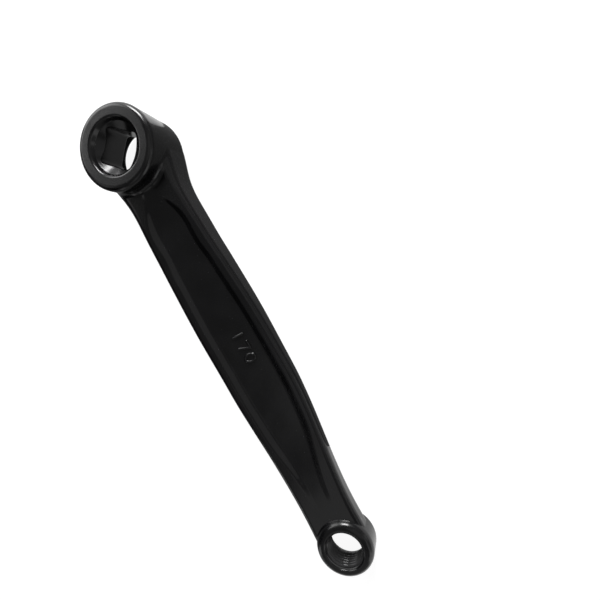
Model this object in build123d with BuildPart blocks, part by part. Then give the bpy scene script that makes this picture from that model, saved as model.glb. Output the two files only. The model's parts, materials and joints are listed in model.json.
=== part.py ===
from build123d import *
from math import radians, tan
import os

# Left crank arm for a square-taper spindle, one forged piece of painted steel, in millimetres.
# The spindle axis is Z through the origin and the pedal axis is parallel to it on +X.
# The arm lies on its outer face at Z = 0, with the spindle boss standing up on the inner side.

# Axes and overall heights
crank_length = 170.0
boss_height = 23.5
eye_height = 11.0

# Spindle boss, turned about Z: a drum that widens a little from the outer face to the inner one
boss_foot_radius = 15.7
boss_foot_edge_radius = 3.5
boss_widening = 0.25
boss_face_edge_radius = 2.0

# Fillet where the boss rises from the arm's inner face: it takes at most this share of the wall above the arm
neck_fillet_radius = 2.0
neck_fillet_share = 0.75

# Inner mouth of the boss and the tapered square for the spindle, measured down from the boss's face
mouth_radius = 10.7
mouth_edge_radius = 1.0
ledge_radius = 9.7
ledge_depth = 1.9
square_depth = 3.7
square_across_flats = 13.6
square_corner_radius = 2.0
square_taper_angle = 2.0
square_turn = 45.0

# Outer recess, threaded M22 x 1 for the extractor: the wall is at the thread's outer diameter
extractor_diameter = 22.0
extractor_depth = 10.0
countersink_radius = 13.8
countersink_depth = 3.4

# Pedal eye, threaded 9/16 inch x 20 left-hand: the wall is at the thread's outer diameter
eye_radius = 10.9
eye_crown_radius = 3.2
eye_edge_radius = 0.8
pedal_thread_diameter = 14.29
pedal_chamfer = 0.4

# Half-widths of the forged arm: its root inside the boss, then shoulder, neck, belly, wrist and tip
root_x = -5.0
root_inset = 0.4
shoulder_x = 0.0
shoulder_half_width = 15.0
neck_x = 22.0
neck_half_width = 11.6
belly_x = 82.0
belly_end_to_eye = 70.0
belly_half_width = 14.15
wrist_to_eye = 13.0
wrist_half_width = 10.0
tip_half_width = 10.3
station_step = 8.75

# Height of the rails: level beside the boss, then falling to the slimmest place and up a little to the wrist
shoulder_height = 16.2
fall_x = 5.0
slim_to_eye = 48.0
slim_height = 7.3
wrist_height = 8.4

# Rounded edges of the arm's section: the outer ones grow to the neck and shrink to the wrist,
# and the inner ones shrink from the shoulder to where the rails begin
outer_edge_radius = 4.5
shoulder_edge_radius = 2.5
wrist_edge_radius = 3.2
shoulder_inner_radius = 4.0
rail_x = 40.0
rail_edge_radius = 2.0

# Shallow pocket between the two rails of the inner face
pocket_depth = 1.4
pocket_wall_width = 3.4
rail_width = 3.2
pocket_start_x = 19.0
pocket_full_x = 30.0
pocket_fade_to_eye = 48.0
pocket_end_to_eye = 14.0
pocket_end_half_width = 4.0
pocket_end_wall_width = 1.6

# Room for the cutting profiles above and below the faces that they open
cut_room = 2.0

boss_face_radius = boss_foot_radius + boss_widening
belly_end_x = crank_length - belly_end_to_eye
slim_x = crank_length - slim_to_eye
wrist_x = crank_length - wrist_to_eye
root_half_width = (boss_foot_radius**2 - root_x**2) ** 0.5 - root_inset
pocket_fade_x = crank_length - pocket_fade_to_eye
pocket_end_x = crank_length - pocket_end_to_eye


def ease(x, x_from, x_to):
    """Smooth step from 0 at x_from to 1 at x_to, level at both ends."""
    t = min(max((x - x_from) / (x_to - x_from), 0.0), 1.0)
    return t * t * (3.0 - 2.0 * t)


def half_width(x):
    """Half of the arm's width: smooth steps from root to shoulder, neck, belly, wrist and tip."""
    width = root_half_width
    width += (shoulder_half_width - root_half_width) * ease(x, root_x, shoulder_x)
    width += (neck_half_width - shoulder_half_width) * ease(x, shoulder_x, neck_x)
    width += (belly_half_width - neck_half_width) * ease(x, neck_x, belly_x)
    width += (wrist_half_width - belly_half_width) * ease(x, belly_end_x, wrist_x)
    width += (tip_half_width - wrist_half_width) * ease(x, wrist_x, crank_length)
    return width


def rail_height(x):
    """Height of the rails: smooth steps from the shoulder to the slimmest place and to the wrist."""
    height = shoulder_height
    height += (slim_height - shoulder_height) * ease(x, fall_x, slim_x)
    height += (wrist_height - slim_height) * ease(x, slim_x, wrist_x)
    return height


def edge_radius(x):
    """Radius of the outer edges: smooth steps from the shoulder to the neck and to the wrist."""
    radius = shoulder_edge_radius
    radius += (outer_edge_radius - shoulder_edge_radius) * ease(x, shoulder_x, neck_x)
    radius += (wrist_edge_radius - outer_edge_radius) * ease(x, neck_x, wrist_x)
    return radius


def pocket_share(x):
    """Share of the pocket's depth at x: it fades out before the boss and before the eye."""
    return ease(x, pocket_start_x, pocket_full_x) * (1.0 - ease(x, pocket_fade_x, pocket_end_x))


def between(share, low, high):
    """The value that lies this share of the way from low to high."""
    return low + share * (high - low)


step_count = round((crank_length - root_x) / station_step)
stations = [between(i / step_count, root_x, crank_length) for i in range(step_count + 1)]
# Half-plane behind the boss, with the radius to the right and the height up
behind_boss = Plane(origin=(0, 0, 0), x_dir=(-1, 0, 0), z_dir=(0, 1, 0))

with BuildPart() as crank_arm:
    # Forged arm, lofted through its sections from inside the boss to inside the eye
    for x in stations:
        half = half_width(x)
        top = rail_height(x)
        share = pocket_share(x)
        edge = edge_radius(x)
        rail_edge = between(ease(x, shoulder_x, rail_x), shoulder_inner_radius, rail_edge_radius)
        crest = between(share, pocket_end_half_width, half - rail_width)
        floor = crest - between(share, pocket_end_wall_width, pocket_wall_width)
        sunk = top - share * pocket_depth
        with BuildSketch(Plane.YZ.offset(x)):
            with BuildLine():
                CenterArc((half - edge, edge), edge, -90, 90)
                Line((half, edge), (half, top - rail_edge))
                CenterArc((half - rail_edge, top - rail_edge), rail_edge, 0, 90)
                Line((half - rail_edge, top), (crest, top))
                Spline((crest, top), (floor, sunk), tangents=[(-1, 0), (-1, 0)])
                mirror(about=Plane.YZ)
                Line((-floor, sunk), (floor, sunk))
                Line((edge - half, 0), (half - edge, 0))
            make_face()
    loft()

    # Spindle boss
    with BuildSketch(behind_boss) as boss_section:
        with BuildLine():
            Polyline(
                (0, 0),
                (boss_foot_radius, 0),
                (boss_face_radius, boss_height),
                (0, boss_height),
                close=True,
            )
        make_face()
        foot_corner = boss_section.vertices().sort_by_distance((boss_foot_radius, 0))[0]
        fillet(foot_corner, boss_foot_edge_radius)
        face_corner = boss_section.vertices().sort_by_distance((boss_face_radius, boss_height))[0]
        fillet(face_corner, boss_face_edge_radius)
    revolve(axis=Axis.Z)
    boss_wall = boss_height - boss_face_edge_radius - shoulder_height
    neck_edge = crank_arm.edges().sort_by_distance((boss_face_radius, 0, shoulder_height))[0]
    fillet(neck_edge, min(neck_fillet_radius, neck_fillet_share * boss_wall))

    # Pedal eye
    with BuildSketch(Plane.XZ) as eye_section:
        with Locations((crank_length, 0)):
            Rectangle(eye_radius, eye_height, align=(Align.MIN, Align.MIN))
        rim = crank_length + eye_radius
        fillet(eye_section.vertices().sort_by_distance((rim, eye_height))[0], eye_crown_radius)
        fillet(eye_section.vertices().sort_by_distance((rim, 0))[0], eye_edge_radius)
    revolve(axis=Axis((crank_length, 0, 0), (0, 0, 1)))

    # Inner mouth and its ledge, opened from the boss's face
    with BuildSketch(Plane.XZ) as mouth_section:
        with BuildLine():
            Polyline(
                (0, boss_height + cut_room),
                (mouth_radius + cut_room, boss_height + cut_room),
                (mouth_radius + cut_room, boss_height),
                (mouth_radius, boss_height),
                (ledge_radius, boss_height - ledge_depth),
                (square_across_flats / 2, boss_height - square_depth),
                (0, boss_height - square_depth),
                close=True,
            )
        make_face()
        fillet(mouth_section.vertices().sort_by_distance((mouth_radius, boss_height))[0], mouth_edge_radius)
    revolve(axis=Axis.Z, mode=Mode.SUBTRACT)

    # Square for the spindle, narrowing towards the outer side
    for height in (extractor_depth, boss_height):
        narrowing = (boss_height - square_depth - height) * tan(radians(square_taper_angle))
        across = square_across_flats - 2 * narrowing
        with BuildSketch(Plane.XY.offset(height)):
            RectangleRounded(across, across, square_corner_radius, rotation=square_turn)
    loft(mode=Mode.SUBTRACT)

    # Outer recess
    with BuildSketch(Plane.XZ):
        with BuildLine():
            Polyline(
                (0, 0),
                (countersink_radius, 0),
                (extractor_diameter / 2, countersink_depth),
                (extractor_diameter / 2, extractor_depth),
                (0, extractor_depth),
                close=True,
            )
        make_face()
    revolve(axis=Axis.Z, mode=Mode.SUBTRACT)

    # Pedal hole
    with Locations((crank_length, 0, eye_height / 2)):
        Hole(pedal_thread_diameter / 2, depth=eye_height)
    chamfer(
        crank_arm.edges()
        .filter_by(GeomType.CIRCLE)
        .filter_by(lambda edge: abs(edge.radius - pedal_thread_diameter / 2) < 0.01),
        pedal_chamfer,
    )

os.makedirs("parts", exist_ok=True)
crank_arm.part.label = "crank_arm"
export_step(crank_arm.part, "parts/crank_arm.step")
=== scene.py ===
"""Looks of a gloss black left crank arm: paint, thread ridges, a raised length number and a pale stage."""

import json
import math

import bpy
import numpy as np
from mathutils import Matrix, Vector


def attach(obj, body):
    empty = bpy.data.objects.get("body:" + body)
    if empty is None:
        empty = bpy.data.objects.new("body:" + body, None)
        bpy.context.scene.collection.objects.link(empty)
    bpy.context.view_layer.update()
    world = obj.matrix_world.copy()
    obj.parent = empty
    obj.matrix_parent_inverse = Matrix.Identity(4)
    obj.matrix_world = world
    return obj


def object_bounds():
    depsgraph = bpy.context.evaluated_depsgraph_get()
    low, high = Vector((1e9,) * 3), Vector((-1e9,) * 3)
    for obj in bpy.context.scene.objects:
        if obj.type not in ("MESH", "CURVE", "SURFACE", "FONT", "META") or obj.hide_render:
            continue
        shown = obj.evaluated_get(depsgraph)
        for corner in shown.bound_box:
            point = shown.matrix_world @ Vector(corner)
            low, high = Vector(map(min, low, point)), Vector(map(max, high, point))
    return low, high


bl_info = {
    "name": "Crank Arm Looks",
    "version": (1, 0, 0),
    "blender": (4, 5, 0),
    "location": "View3D > Sidebar > Crank Arm",
    "description": "Dresses a packed crank arm with paint, thread ridges and a raised length number",
    "category": "Object",
}

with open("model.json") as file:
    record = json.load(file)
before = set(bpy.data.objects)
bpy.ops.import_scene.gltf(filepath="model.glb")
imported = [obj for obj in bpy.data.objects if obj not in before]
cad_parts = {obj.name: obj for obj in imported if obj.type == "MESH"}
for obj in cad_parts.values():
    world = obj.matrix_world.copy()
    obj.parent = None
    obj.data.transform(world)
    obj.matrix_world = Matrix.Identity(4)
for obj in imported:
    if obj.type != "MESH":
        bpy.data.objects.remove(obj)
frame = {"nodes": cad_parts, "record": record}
CAD_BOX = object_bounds()
ARM = frame["nodes"]["crank_arm"]
MOUNTS = {mount["name"]: mount for mount in frame["record"]["mounts"]}
MM = 0.001
CRANK_LENGTH = MOUNTS["pedal_thread"]["pos_m"][0]
MIDDLE_X = (CAD_BOX[0][0] + CAD_BOX[1][0]) / 2

# Paint: how it bends light, how far its gloss varies, the grain of its noise, the levels of the noise where
# the film is thin and thick, and the share of its peel and of its rounded edges that the small pieces get
PAINT_IOR = 1.45
GLOSS_SPREAD = 0.15
NOISE_GRAIN = 0.45
THIN_LEVEL = 0.35
THICK_LEVEL = 0.65
BEVEL_SAMPLES = 8
THREAD_PEEL_SHARE = 0.3
THREAD_EDGE_SHARE = 0.2
NUMBER_PEEL_SHARE = 0.4
NUMBER_EDGE_SHARE = 0.3

# Angles past which an edge of a small piece stays sharp
THREAD_SHARP_ANGLE = math.radians(40.0)
NUMBER_SHARP_ANGLE = math.radians(60.0)


def mount_radius(name):
    """Radius in metres of the mount's round wall."""
    return MOUNTS[name]["dims"]["r_mm"] * MM


def mount_length(name):
    """Length in metres of the mount's round wall."""
    return MOUNTS[name]["dims"]["length_mm"] * MM


# Settings

class PaintSettings(bpy.types.PropertyGroup):
    """Sizes and colours of the paint film."""
    black: bpy.props.FloatVectorProperty(
        name="Black", description="Colour of the paint", subtype="COLOR", size=3,
        default=(0.0042, 0.0042, 0.0046), min=0.0, max=1.0)
    deep_black: bpy.props.FloatVectorProperty(
        name="Deep black", description="Colour of the paint where the film is thick", subtype="COLOR", size=3,
        default=(0.003, 0.003, 0.0033), min=0.0, max=1.0)
    steel: bpy.props.FloatVectorProperty(
        name="Steel", description="Colour of the steel that shows through the thin film on the threads",
        subtype="COLOR", size=3, default=(0.5, 0.5, 0.51), min=0.0, max=1.0)
    bare_share: bpy.props.FloatProperty(
        name="Bare share", description="Share of the steel that shows on the threads", subtype="FACTOR",
        default=0.04, min=0.0, max=1.0)
    roughness: bpy.props.FloatProperty(
        name="Roughness", description="Roughness of the cured film", subtype="FACTOR",
        default=0.2, min=0.0, max=1.0)
    thread_roughness: bpy.props.FloatProperty(
        name="Thread roughness", description="Roughness of the thin film on the threads", subtype="FACTOR",
        default=0.12, min=0.0, max=1.0)
    peel_size: bpy.props.FloatProperty(
        name="Peel size", description="Distance between two bumps of the orange peel", unit="LENGTH",
        default=1.4 * MM, min=0.1 * MM, max=10 * MM)
    peel_height: bpy.props.FloatProperty(
        name="Peel height", description="Height of the orange peel", unit="LENGTH",
        default=0.006 * MM, min=0.0, max=0.1 * MM)
    wave_size: bpy.props.FloatProperty(
        name="Wave size", description="Distance between two waves of the forged skin under the paint",
        unit="LENGTH", default=9.0 * MM, min=1 * MM, max=50 * MM)
    wave_height: bpy.props.FloatProperty(
        name="Wave height", description="Height of the waves of the forged skin", unit="LENGTH",
        default=0.03 * MM, min=0.0, max=0.5 * MM)
    edge_radius: bpy.props.FloatProperty(
        name="Edge radius", description="How far the film rounds a sharp edge", unit="LENGTH",
        default=0.5 * MM, min=0.0, max=2 * MM)


class ThreadSettings(bpy.types.PropertyGroup):
    """Sizes of the two threads."""
    pedal_pitch: bpy.props.FloatProperty(
        name="Pedal pitch", description="Pitch of the left-hand pedal thread", unit="LENGTH",
        default=1.27 * MM, min=0.5 * MM, max=3 * MM)
    extractor_pitch: bpy.props.FloatProperty(
        name="Extractor pitch", description="Pitch of the right-hand extractor thread", unit="LENGTH",
        default=1.0 * MM, min=0.5 * MM, max=3 * MM)
    depth_share: bpy.props.FloatProperty(
        name="Depth share", description="Height of a ridge over its pitch", subtype="FACTOR",
        default=0.54, min=0.1, max=0.8)


class NumberSettings(bpy.types.PropertyGroup):
    """The raised number on the pocket's floor."""
    body: bpy.props.StringProperty(
        name="Number", description="Length of the arm in millimetres, in digits",
        default=str(round(CRANK_LENGTH / MM)))
    height: bpy.props.FloatProperty(
        name="Digit height", description="Height of a digit across the arm", unit="LENGTH",
        default=5.5 * MM, min=1 * MM, max=10 * MM)
    width: bpy.props.FloatProperty(
        name="Digit width", description="Width of a digit along the arm", unit="LENGTH",
        default=2.9 * MM, min=0.5 * MM, max=8 * MM)
    pitch: bpy.props.FloatProperty(
        name="Digit pitch", description="Distance from one digit to the next", unit="LENGTH",
        default=4.85 * MM, min=1 * MM, max=10 * MM)
    bead: bpy.props.FloatProperty(
        name="Bead radius", description="Radius of the half-round strokes", unit="LENGTH",
        default=0.55 * MM, min=0.05 * MM, max=1 * MM)
    place: bpy.props.FloatProperty(
        name="Place", description="Middle of the number, measured from the spindle axis", unit="LENGTH",
        default=85.8 * MM, min=0.0, max=CRANK_LENGTH)
    side: bpy.props.FloatProperty(
        name="Side", description="How far the number stands off the arm's middle line", unit="LENGTH",
        default=1.3 * MM, min=-8 * MM, max=8 * MM)


class StageSettings(bpy.types.PropertyGroup):
    """Camera, floor and even light."""
    camera_place: bpy.props.FloatVectorProperty(
        name="Camera place", description="Where the camera stands", subtype="TRANSLATION", unit="LENGTH",
        size=3, default=(0.08799, 0.07125, 0.14835))
    camera_turn: bpy.props.FloatVectorProperty(
        name="Camera turn", description="The camera's XYZ angles", subtype="EULER", unit="ROTATION", size=3,
        default=(math.radians(-5.356), math.radians(15.758), math.radians(60.640)))
    lens: bpy.props.FloatProperty(
        name="Lens", description="Focal length in millimetres on a 36 mm sensor",
        default=24.0, min=10.0, max=200.0)
    floor_colour: bpy.props.FloatVectorProperty(
        name="Floor", description="Colour of the floor and backdrop", subtype="COLOR", size=3,
        default=(0.9, 0.9, 0.9), min=0.0, max=1.0)
    sky_level: bpy.props.FloatProperty(
        name="Sky level", description="Level of the even light from above", default=0.16, min=0.0, max=2.0)


# Meshes

def link_mesh(name, points, faces, material):
    """Makes a mesh object from rows of points and rows of corner numbers, and links it into the scene."""
    mesh = bpy.data.meshes.new(name)
    mesh.from_pydata(points, [], faces)
    mesh.materials.append(material)
    thing = bpy.data.objects.new(name, mesh)
    bpy.context.scene.collection.objects.link(thing)
    return thing


def add_piece(name, points, faces, material, sharp_angle):
    """Makes a smooth piece from an array of points, and lets it ride on the arm's body."""
    piece = link_mesh(name, points.tolist(), faces, material)
    piece.data.shade_smooth()
    piece.data.set_sharp_from_angle(angle=sharp_angle)
    piece.data.validate()
    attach(piece, "root")


def grid_quads(rows, columns, next_rows, next_columns):
    """Corner numbers of the quads from row i to the next row and from column j to the next column.

    A grid that closes on itself has as many next rows or next columns as rows or columns. Point (i, j)
    has the number i times the columns plus j.
    """
    i, j = np.meshgrid(np.arange(next_rows), np.arange(next_columns), indexing="ij")
    n = (i + 1) % rows
    k = (j + 1) % columns
    corners = [i * columns + j, n * columns + j, n * columns + k, i * columns + k]
    return np.stack(corners, axis=-1).reshape(-1, 4)


def smooth_step(t):
    """3 t^2 - 2 t^3 between 0 and 1."""
    t = np.clip(t, 0.0, 1.0)
    return t * t * (3.0 - 2.0 * t)


def thread_ridge(centre, radius, length, pitch, depth, hand):
    """Ridge of a thread in a round hole: a trapezoid with a rounded crest carried along a helix.

    A profile point (s, w) at angle a lies at radius - depth * s * fade(a) from the axis and at
    pitch * (a / 2 pi + w) along it; hand +1 turns a counter-clockwise and -1 clockwise. fade(a) is a smooth
    step over the first and the last part of a turn, where the ridge runs out into the wall.
    """
    profile = np.array([(-0.25, -0.47), (0.0, -0.43), (0.86, -0.11), (0.97, -0.05), (1.0, 0.0),
                        (0.97, 0.05), (0.86, 0.11), (0.0, 0.43), (-0.25, 0.47)])
    run_out = 0.4
    steps_per_turn = 56
    turns = length / pitch - 1.0
    count = int(turns * steps_per_turn) + 1
    turn = np.linspace(0.0, turns, count)
    fade = smooth_step(turn / run_out) * smooth_step((turns - turn) / run_out)
    inset = profile[:, 0][None, :]
    share = np.where(inset > 0.0, inset * fade[:, None], inset)
    r = radius - depth * share
    z = centre[2] - length / 2 + pitch * (0.5 + turn[:, None] + profile[:, 1][None, :])
    angle = hand * 2.0 * math.pi * turn[:, None]
    points = np.stack([centre[0] + r * np.cos(angle), centre[1] + r * np.sin(angle), z], axis=-1)
    across = len(profile)
    quads = grid_quads(count, across, count - 1, across)
    start = np.arange(across)
    caps = np.stack([start, (count - 1) * across + start[::-1]])
    if hand > 0:
        quads = quads[:, ::-1]
        caps = caps[:, ::-1]
    return points.reshape(-1, 3), quads.tolist() + caps.tolist()


def line_path(u0, v0, u1, v1):
    """Straight stroke from (u0, v0) to (u1, v1) in a digit's unit box."""
    return np.array([(u0, v0), (u1, v1)])


def arc_path(u, v, half_width, half_height, start, end):
    """Stroke (u + half_width cos a, v + half_height sin a) for a from start to end in degrees."""
    steps = 40
    a = np.radians(np.linspace(start, end, steps + 1))
    return np.stack([u + half_width * np.cos(a), v + half_height * np.sin(a)], axis=-1)


DIGIT_STROKES = {
    "0": [arc_path(0.5, 0.5, 0.5, 0.5, 0, 360)],
    "1": [line_path(0.5, 0, 0.5, 1)],
    "2": [arc_path(0.5, 0.72, 0.46, 0.28, 160, -38), line_path(0.86, 0.55, 0.04, 0),
          line_path(0.04, 0, 1, 0)],
    "3": [arc_path(0.46, 0.75, 0.42, 0.25, 150, -90), arc_path(0.46, 0.25, 0.48, 0.25, 90, -150)],
    "4": [line_path(0.75, 0, 0.75, 1), line_path(0.75, 1, 0, 0.3), line_path(0, 0.3, 1, 0.3)],
    "5": [line_path(0.92, 1, 0.15, 1), line_path(0.15, 1, 0.1, 0.53),
          arc_path(0.46, 0.32, 0.48, 0.32, 140, -140)],
    "6": [arc_path(0.5, 0.3, 0.46, 0.3, 0, 360), line_path(0.08, 0.42, 0.62, 1)],
    "7": [line_path(0, 1, 1, 1), line_path(1, 1, 0.45, 0)],
    "8": [arc_path(0.5, 0.76, 0.4, 0.24, 0, 360), arc_path(0.5, 0.26, 0.48, 0.26, 0, 360)],
    "9": [arc_path(0.5, 0.7, 0.46, 0.3, 0, 360), line_path(0.92, 0.58, 0.38, 0)],
}


def bead(path, radius):
    """Round bead along a plane path, either a ring or a bar with round ends: points, quads and end caps.

    Point (i, a) lies at path(i) + r(i) (cos a side + sin a up), where side is square to the path in its
    plane and up is +Z. r is the radius, and falls as a quarter circle at the two ends of a bar.
    """
    around = 16
    end_turn = np.radians([80.0, 60.0, 40.0, 20.0])
    ring = bool(np.allclose(path[0], path[-1]))
    if ring:
        path = path[:-1]
        along = np.roll(path, -1, axis=0) - np.roll(path, 1, axis=0)
    else:
        along = np.gradient(path, axis=0)
    along = along / np.linalg.norm(along, axis=1)[:, None]
    size = np.full(len(path), radius)
    if not ring:
        reach = radius * np.sin(end_turn)
        end_size = radius * np.cos(end_turn)
        before = path[0] - along[0] * reach[:, None]
        after = path[-1] + along[-1] * reach[::-1, None]
        path = np.concatenate([before, path, after])
        size = np.concatenate([end_size, size, end_size[::-1]])
        along = np.pad(along, ((len(end_turn), len(end_turn)), (0, 0)), mode="edge")
    side = np.stack([-along[:, 1], along[:, 0]], axis=-1)
    a = np.linspace(0.0, 2.0 * math.pi, around, endpoint=False)
    flat = path[:, None, :] + size[:, None, None] * np.cos(a)[None, :, None] * side[:, None, :]
    up = size[:, None] * np.sin(a)[None, :]
    points = np.concatenate([flat, up[:, :, None]], axis=-1).reshape(-1, 3)
    count = len(path)
    quads = grid_quads(count, around, count if ring else count - 1, around)[:, ::-1]
    start = np.arange(around)
    caps = np.stack([start[::-1], (count - 1) * around + start])
    return points, quads, caps[:0] if ring else caps


def number_beads(number):
    """Points and faces of the number about its middle: digits along +X with their tops towards +Y."""
    points = []
    faces = []
    start = 0
    first = -(len(number.body) - 1) / 2
    for i, digit in enumerate(number.body):
        for stroke in DIGIT_STROKES[digit]:
            path = (stroke - 0.5) * (number.width, number.height - 2.0 * number.bead)
            path[:, 0] += (first + i) * number.pitch
            stroke_points, quads, caps = bead(path, number.bead)
            points.append(stroke_points)
            faces += (quads + start).tolist() + (caps + start).tolist()
            start += len(stroke_points)
    return np.concatenate(points), faces


def floor_height(x, y):
    """Height of the arm's upper surface at a place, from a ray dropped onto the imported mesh."""
    above = CAD_BOX[1][2] + 10 * MM
    hit, point = ARM.ray_cast(Vector((x, y, above)), Vector((0.0, 0.0, -1.0)))[:2]
    if not hit:
        raise RuntimeError("nothing lies under the number")
    return point.z


# Shader node groups and materials

def link_nodes(tree, *pairs):
    """Links pairs of sockets."""
    for start, end in pairs:
        tree.links.new(start, end)


def math_node(tree, operation, *values):
    """Math node of two values, each a socket to link or a plain number; gives its output socket."""
    node = tree.nodes.new("ShaderNodeMath")
    node.operation = operation
    for socket, value in zip(node.inputs, values):
        if isinstance(value, float):
            socket.default_value = value
        else:
            tree.links.new(value, socket)
    return node.outputs[0]


def paint_film_group():
    """Node group of a paint film: orange peel over a wavy skin, and a mask of where the film is thick.

    Inputs: sizes and heights in metres. Outputs: Height in metres for a Bump node, and Thick from 0 to 1.
    """
    found = bpy.data.node_groups.get("Paint Film")
    if found:
        return found
    tree = bpy.data.node_groups.new("Paint Film", "ShaderNodeTree")
    for name in ("Peel Size", "Peel Height", "Wave Size", "Wave Height"):
        tree.interface.new_socket(name, in_out="INPUT", socket_type="NodeSocketFloat")
    for name in ("Height", "Thick"):
        tree.interface.new_socket(name, in_out="OUTPUT", socket_type="NodeSocketFloat")
    given = tree.nodes.new("NodeGroupInput")
    result = tree.nodes.new("NodeGroupOutput")
    place = tree.nodes.new("ShaderNodeTexCoord")

    def noise(size, detail):
        """Noise from 0 to 1 whose bumps are about this size apart."""
        texture = tree.nodes.new("ShaderNodeTexNoise")
        texture.inputs["Detail"].default_value = detail
        texture.inputs["Roughness"].default_value = NOISE_GRAIN
        link_nodes(tree, (math_node(tree, "DIVIDE", 1.0, size), texture.inputs["Scale"]),
                   (place.outputs["Object"], texture.inputs["Vector"]))
        return texture.outputs["Fac"]

    peel = noise(given.outputs["Peel Size"], 1.0)
    wave = noise(given.outputs["Wave Size"], 2.0)
    peel_height = math_node(tree, "MULTIPLY", peel, given.outputs["Peel Height"])
    wave_height = math_node(tree, "MULTIPLY", wave, given.outputs["Wave Height"])
    thick = tree.nodes.new("ShaderNodeMapRange")
    thick.inputs["From Min"].default_value = THIN_LEVEL
    thick.inputs["From Max"].default_value = THICK_LEVEL
    link_nodes(tree, (math_node(tree, "ADD", peel_height, wave_height), result.inputs["Height"]),
               (wave, thick.inputs["Value"]),
               (thick.outputs["Result"], result.inputs["Thick"]))
    return tree


def paint_material(name, paint, roughness, peel_share=1.0, edge_share=1.0, bare=0.0):
    """Gloss black paint: it rounds sharp edges, its height bends the normal, its thickness shifts the colour.

    peel_share and edge_share are the shares of the peel and of the rounded edges, and bare is the share of
    steel that shows through.
    """
    material = bpy.data.materials.new(name)
    material.use_nodes = True
    tree = material.node_tree
    shader = tree.nodes["Principled BSDF"]
    shader.inputs["IOR"].default_value = PAINT_IOR
    shader.inputs["Metallic"].default_value = bare
    film = tree.nodes.new("ShaderNodeGroup")
    film.node_tree = paint_film_group()
    film.inputs["Peel Size"].default_value = paint.peel_size
    film.inputs["Peel Height"].default_value = paint.peel_height * peel_share
    film.inputs["Wave Size"].default_value = paint.wave_size
    film.inputs["Wave Height"].default_value = paint.wave_height * peel_share
    steel = Vector(paint.steel)
    colour = tree.nodes.new("ShaderNodeMix")
    colour.data_type = "RGBA"
    colour.inputs["A"].default_value = (*Vector(paint.black).lerp(steel, bare), 1.0)
    colour.inputs["B"].default_value = (*Vector(paint.deep_black).lerp(steel, bare), 1.0)
    gloss = tree.nodes.new("ShaderNodeMapRange")
    gloss.inputs["To Min"].default_value = roughness * (1.0 + GLOSS_SPREAD)
    gloss.inputs["To Max"].default_value = roughness * (1.0 - GLOSS_SPREAD)
    soft_edges = tree.nodes.new("ShaderNodeBevel")
    soft_edges.samples = BEVEL_SAMPLES
    soft_edges.inputs["Radius"].default_value = paint.edge_radius * edge_share
    bump = tree.nodes.new("ShaderNodeBump")
    bump.inputs["Strength"].default_value = 1.0
    bump.inputs["Distance"].default_value = 1.0
    link_nodes(tree, (film.outputs["Thick"], colour.inputs["Factor"]),
               (colour.outputs["Result"], shader.inputs["Base Color"]),
               (film.outputs["Thick"], gloss.inputs["Value"]),
               (gloss.outputs["Result"], shader.inputs["Roughness"]),
               (film.outputs["Height"], bump.inputs["Height"]),
               (soft_edges.outputs["Normal"], bump.inputs["Normal"]),
               (bump.outputs["Normal"], shader.inputs["Normal"]))
    return material


# Stage

def across_y(y, x0, x1, z0, z1):
    """Corners of an upright card at this y."""
    return [(x0, y, z0), (x1, y, z0), (x1, y, z1), (x0, y, z1)]


def across_x(x, y0, y1, z0, z1):
    """Corners of an upright card at this x."""
    return [(x, y0, z0), (x, y1, z0), (x, y1, z1), (x, y0, z1)]


def lying(z, *places):
    """Corners of a card that lies at height z."""
    return [(x, y, z) for x, y in places]


# Cards: name, brightness, and corners in metres. Each glows, lights nothing and shows only in reflections.
# They are painted reflections on the gloss paint: the dim cards paint shade and the bright ones paint
# highlights.
CARDS = (
    ("back_card", 0.01, across_y(-0.35, -0.5, 0.22, 0.0, 0.3)),
    ("far_card", 0.3, across_x(0.35, -0.45, 0.03, 0.0, 0.22)),
    ("front_card", 0.35, across_y(0.36, -0.2, 0.7, 0.0, 0.25)),
    # The next card is painted shade of the floor round the arm, as the arm's sides reflect it.
    ("floor_shade_card", 0.18, lying(0.0004, (-0.0096, 0.0177), (-0.018, 0.0), (-0.018, -0.02), (-0.17, -0.35),
                               (0.22, -0.35), (0.19, -0.02), (0.135, 0.0), (0.16, 0.36), (-0.232, 0.36))),
    # The next two cards are painted highlights, on the arm's side and inside the boss's mouth.
    ("right_card", 1.1, across_y(0.355, 0.19, 0.3, 0.06, 0.17)),
    ("mouth_card", 0.6, across_y(-0.044, -0.012, 0.01, 0.038, 0.066)),
    # The next card is painted shade of the floor under the boss, as the walls in the hole reflect it.
    ("hole_shade_card", 0.4, lying(0.0008, (-0.012, -0.012), (0.012, -0.012), (0.012, 0.012), (-0.012, 0.012))),
)

# Soft boxes: name, azimuth and elevation in degrees, width and height in metres, and brightness
SOFT_BOXES = (
    ("left_box", 156.0, 24.0, 0.36, 0.25, 26.0),
    ("right_box", 55.0, 25.0, 0.6, 0.45, 0.6),
    ("left_fill", 204.0, 38.0, 0.5, 0.36, 0.65),
    ("left_strip", 204.0, 25.0, 0.5, 0.4, 3.2),
    ("right_fill", -35.0, 57.0, 0.3, 0.4, 0.38),
    ("top_fill", 90.0, 62.0, 0.6, 0.6, 0.25),
)
BOX_DISTANCE = 0.8
BOX_AIM_HEIGHT = 10 * MM

# Width of the camera's sensor in millimetres
SENSOR_WIDTH = 36.0

# Floor: how bright it shows, and the share of that over its own shading, near the arm and far from it
FLOOR_BRIGHTNESS = 1.28
NEAR_SHARE = 0.72
NEAR_DISTANCE = 0.2
FAR_SHARE = 1.0
FAR_DISTANCE = 0.6

# Dish of the floor: radius of its middle face and of its flat, and width and height of its rise
MIDDLE_RADIUS = 0.02
FLAT_RADIUS = 1.5
RISE_WIDTH = 0.8
RISE_HEIGHT = 1.1


def empty_material(name):
    """Material with no shader yet, its node tree and the socket for its surface."""
    material = bpy.data.materials.new(name)
    material.use_nodes = True
    tree = material.node_tree
    tree.nodes.remove(tree.nodes["Principled BSDF"])
    return material, tree, tree.nodes["Material Output"].inputs["Surface"]


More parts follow.
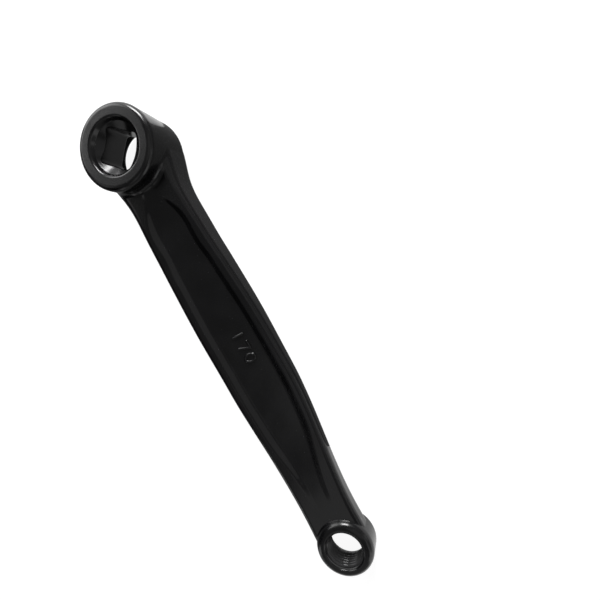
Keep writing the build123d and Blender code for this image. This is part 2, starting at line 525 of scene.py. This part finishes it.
def stage_material(settings):
    """Pale floor that shows as white, keeps a soft share of the shadow and fades to plain white far out."""
    material, tree, surface = empty_material("pale_floor")
    diffuse = tree.nodes.new("ShaderNodeBsdfDiffuse")
    diffuse.inputs["Color"].default_value = (*settings.floor_colour, 1.0)
    white = tree.nodes.new("ShaderNodeEmission")
    white.inputs["Strength"].default_value = FLOOR_BRIGHTNESS
    rays = tree.nodes.new("ShaderNodeLightPath").outputs
    seen = math_node(tree, "MAXIMUM", rays["Is Camera Ray"], rays["Is Glossy Ray"])
    shown = math_node(tree, "MAXIMUM", seen, rays["Is Transmission Ray"])
    place = tree.nodes.new("ShaderNodeTexCoord")
    distance = tree.nodes.new("ShaderNodeVectorMath")
    distance.operation = "LENGTH"
    share = tree.nodes.new("ShaderNodeMapRange")
    share.interpolation_type = "SMOOTHSTEP"
    share.inputs["From Min"].default_value = NEAR_DISTANCE
    share.inputs["From Max"].default_value = FAR_DISTANCE
    share.inputs["To Min"].default_value = NEAR_SHARE
    share.inputs["To Max"].default_value = FAR_SHARE
    mix = tree.nodes.new("ShaderNodeMixShader")
    link_nodes(tree, (place.outputs["Object"], distance.inputs[0]),
               (distance.outputs["Value"], share.inputs["Value"]),
               (math_node(tree, "MULTIPLY", shown, share.outputs["Result"]), mix.inputs["Fac"]),
               (diffuse.outputs[0], mix.inputs[1]),
               (white.outputs[0], mix.inputs[2]),
               (mix.outputs[0], surface))
    return material


def add_floor(settings):
    """Dish about the arm's middle: flat, then rising in a quarter ellipse.

    Point (s, a) lies at radius(s) and height(s), at angle a about the vertical.
    """
    flat_rings = 8
    rise_rings = 12
    sectors = 64
    flat = np.linspace(MIDDLE_RADIUS, FLAT_RADIUS, flat_rings)
    rise = np.linspace(0.0, math.pi / 2, rise_rings + 1)[1:]
    radius = np.concatenate([flat, FLAT_RADIUS + RISE_WIDTH * np.sin(rise)])[:, None]
    height = np.concatenate([np.zeros(flat_rings), RISE_HEIGHT * (1.0 - np.cos(rise))])[:, None]
    angle = np.linspace(0.0, 2.0 * math.pi, sectors, endpoint=False)
    points = np.stack([MIDDLE_X + radius * np.cos(angle), radius * np.sin(angle),
                       np.repeat(height, sectors, axis=1)], axis=-1).reshape(-1, 3)
    quads = grid_quads(len(radius), sectors, len(radius) - 1, sectors)
    middle = list(range(sectors))
    floor = link_mesh("floor", points.tolist(), quads.tolist() + [middle], stage_material(settings))
    floor.data.shade_smooth()


def add_card(name, brightness, corners):
    """Flat card with these corners that glows but lights nothing: only reflections see it, so it paints shade
    or a highlight into them, and it throws no shadow.
    """
    material, tree, surface = empty_material(name)
    glow = tree.nodes.new("ShaderNodeEmission")
    glow.inputs["Strength"].default_value = brightness
    link_nodes(tree, (glow.outputs[0], surface))
    card = link_mesh(name, corners, [list(range(len(corners)))], material)
    card.visible_camera = False
    card.visible_shadow = False
    card.visible_diffuse = False


def add_lamps(scene):
    """Soft boxes at one distance from the arm's middle, each turned towards it."""
    middle = Vector((MIDDLE_X, 0.0, BOX_AIM_HEIGHT))
    for name, azimuth, elevation, width, height, brightness in SOFT_BOXES:
        light = bpy.data.lights.new(name, "AREA")
        light.shape = "RECTANGLE"
        light.size = width
        light.size_y = height
        light.energy = brightness * math.pi * width * height
        a = math.radians(azimuth)
        e = math.radians(elevation)
        back = Vector((math.cos(a) * math.cos(e), math.sin(a) * math.cos(e), math.sin(e)))
        lamp = bpy.data.objects.new(name, light)
        lamp.location = middle + back * BOX_DISTANCE
        lamp.rotation_euler = (-back).to_track_quat("-Z", "Y").to_euler()
        lamp.visible_camera = False
        scene.collection.objects.link(lamp)


def add_sky(scene, level):
    """Even white light from all round."""
    world = bpy.data.worlds.new("even_light")
    world.use_nodes = True
    sky = world.node_tree.nodes["Background"]
    sky.inputs["Color"].default_value = (1.0, 1.0, 1.0, 1.0)
    sky.inputs["Strength"].default_value = level
    scene.world = world


def add_camera(scene, settings):
    """Camera at the place and angle of the view, with no shift and no depth of field."""
    data = bpy.data.cameras.new("camera")
    data.lens = settings.lens
    data.sensor_width = SENSOR_WIDTH
    data.clip_start = 0.001
    data.clip_end = 50.0
    camera = bpy.data.objects.new("camera", data)
    camera.location = settings.camera_place
    camera.rotation_euler = settings.camera_turn
    scene.collection.objects.link(camera)
    scene.camera = camera


# Operators

class CRANKARM_OT_paint(bpy.types.Operator):
    """Paint the forged arm"""
    bl_idname = "crankarm.paint"
    bl_label = "Paint Arm"

    def execute(self, context):
        paint = context.scene.crankarm_paint
        ARM.data.materials.clear()
        ARM.data.materials.append(paint_material("gloss_black_paint", paint, paint.roughness))
        return {"FINISHED"}


class CRANKARM_OT_threads(bpy.types.Operator):
    """Add the ridges of the pedal thread and of the extractor thread"""
    bl_idname = "crankarm.threads"
    bl_label = "Add Threads"

    def execute(self, context):
        paint = context.scene.crankarm_paint
        threads = context.scene.crankarm_threads
        material = paint_material("thread_black_paint", paint, paint.thread_roughness, THREAD_PEEL_SHARE,
                                  THREAD_EDGE_SHARE, paint.bare_share)
        for name, pitch, hand in (("pedal_thread", threads.pedal_pitch, -1),
                                  ("extractor_thread", threads.extractor_pitch, 1)):
            points, faces = thread_ridge(MOUNTS[name]["pos_m"], mount_radius(name), mount_length(name), pitch,
                                         pitch * threads.depth_share, hand)
            add_piece(name + "_ridge", points, faces, material, THREAD_SHARP_ANGLE)
        return {"FINISHED"}


class CRANKARM_OT_number(bpy.types.Operator):
    """Add the raised number on the pocket's floor"""
    bl_idname = "crankarm.number"
    bl_label = "Add Number"

    def execute(self, context):
        paint = context.scene.crankarm_paint
        number = context.scene.crankarm_number
        points, faces = number_beads(number)
        span = number.pitch * len(number.body) / 2
        near = floor_height(number.place - span, number.side)
        far = floor_height(number.place + span, number.side)
        tilt = Matrix.Rotation(math.atan2(near - far, 2.0 * span), 3, "Y")
        points = points @ np.array(tilt).T + (number.place, number.side, (near + far) / 2)
        material = paint_material("number_black_paint", paint, paint.roughness, NUMBER_PEEL_SHARE,
                                  NUMBER_EDGE_SHARE)
        add_piece("length_number", points, faces, material, NUMBER_SHARP_ANGLE)
        return {"FINISHED"}


class CRANKARM_OT_stage(bpy.types.Operator):
    """Add the floor with its backdrop, the cards, the lamps and the camera"""
    bl_idname = "crankarm.stage"
    bl_label = "Add Stage"

    def execute(self, context):
        scene = context.scene
        settings = scene.crankarm_stage
        add_floor(settings)
        for name, brightness, corners in CARDS:
            add_card(name, brightness, corners)
        add_lamps(scene)
        add_sky(scene, settings.sky_level)
        add_camera(scene, settings)
        scene.view_settings.view_transform = "Standard"
        return {"FINISHED"}


# Panel and registration

class CRANKARM_PT_looks(bpy.types.Panel):
    """Lists the pieces of the crank arm and their settings"""
    bl_idname = "CRANKARM_PT_looks"
    bl_label = "Crank Arm Looks"
    bl_space_type = "VIEW_3D"
    bl_region_type = "UI"
    bl_category = "Crank Arm"

    def draw(self, context):
        scene = context.scene
        for operator, settings in (("crankarm.paint", scene.crankarm_paint),
                                   ("crankarm.threads", scene.crankarm_threads),
                                   ("crankarm.number", scene.crankarm_number),
                                   ("crankarm.stage", scene.crankarm_stage)):
            box = self.layout.box()
            box.operator(operator)
            for name in settings.__annotations__:
                box.prop(settings, name)


SETTINGS = {"crankarm_paint": PaintSettings, "crankarm_threads": ThreadSettings,
            "crankarm_number": NumberSettings, "crankarm_stage": StageSettings}
CLASSES = (*SETTINGS.values(), CRANKARM_OT_paint, CRANKARM_OT_threads, CRANKARM_OT_number, CRANKARM_OT_stage,
           CRANKARM_PT_looks)


def register():
    """Registers the classes and hangs the settings on the scene."""
    for item in CLASSES:
        bpy.utils.register_class(item)
    for name, group in SETTINGS.items():
        setattr(bpy.types.Scene, name, bpy.props.PointerProperty(type=group))


def unregister():
    """Takes back what register does."""
    for name in SETTINGS:
        delattr(bpy.types.Scene, name)
    for item in reversed(CLASSES):
        bpy.utils.unregister_class(item)


def main():
    """Registers the classes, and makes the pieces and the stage."""
    register()
    bpy.ops.crankarm.paint()
    bpy.ops.crankarm.threads()
    bpy.ops.crankarm.number()
    bpy.ops.crankarm.stage()


if __name__ == "__main__":
    main()
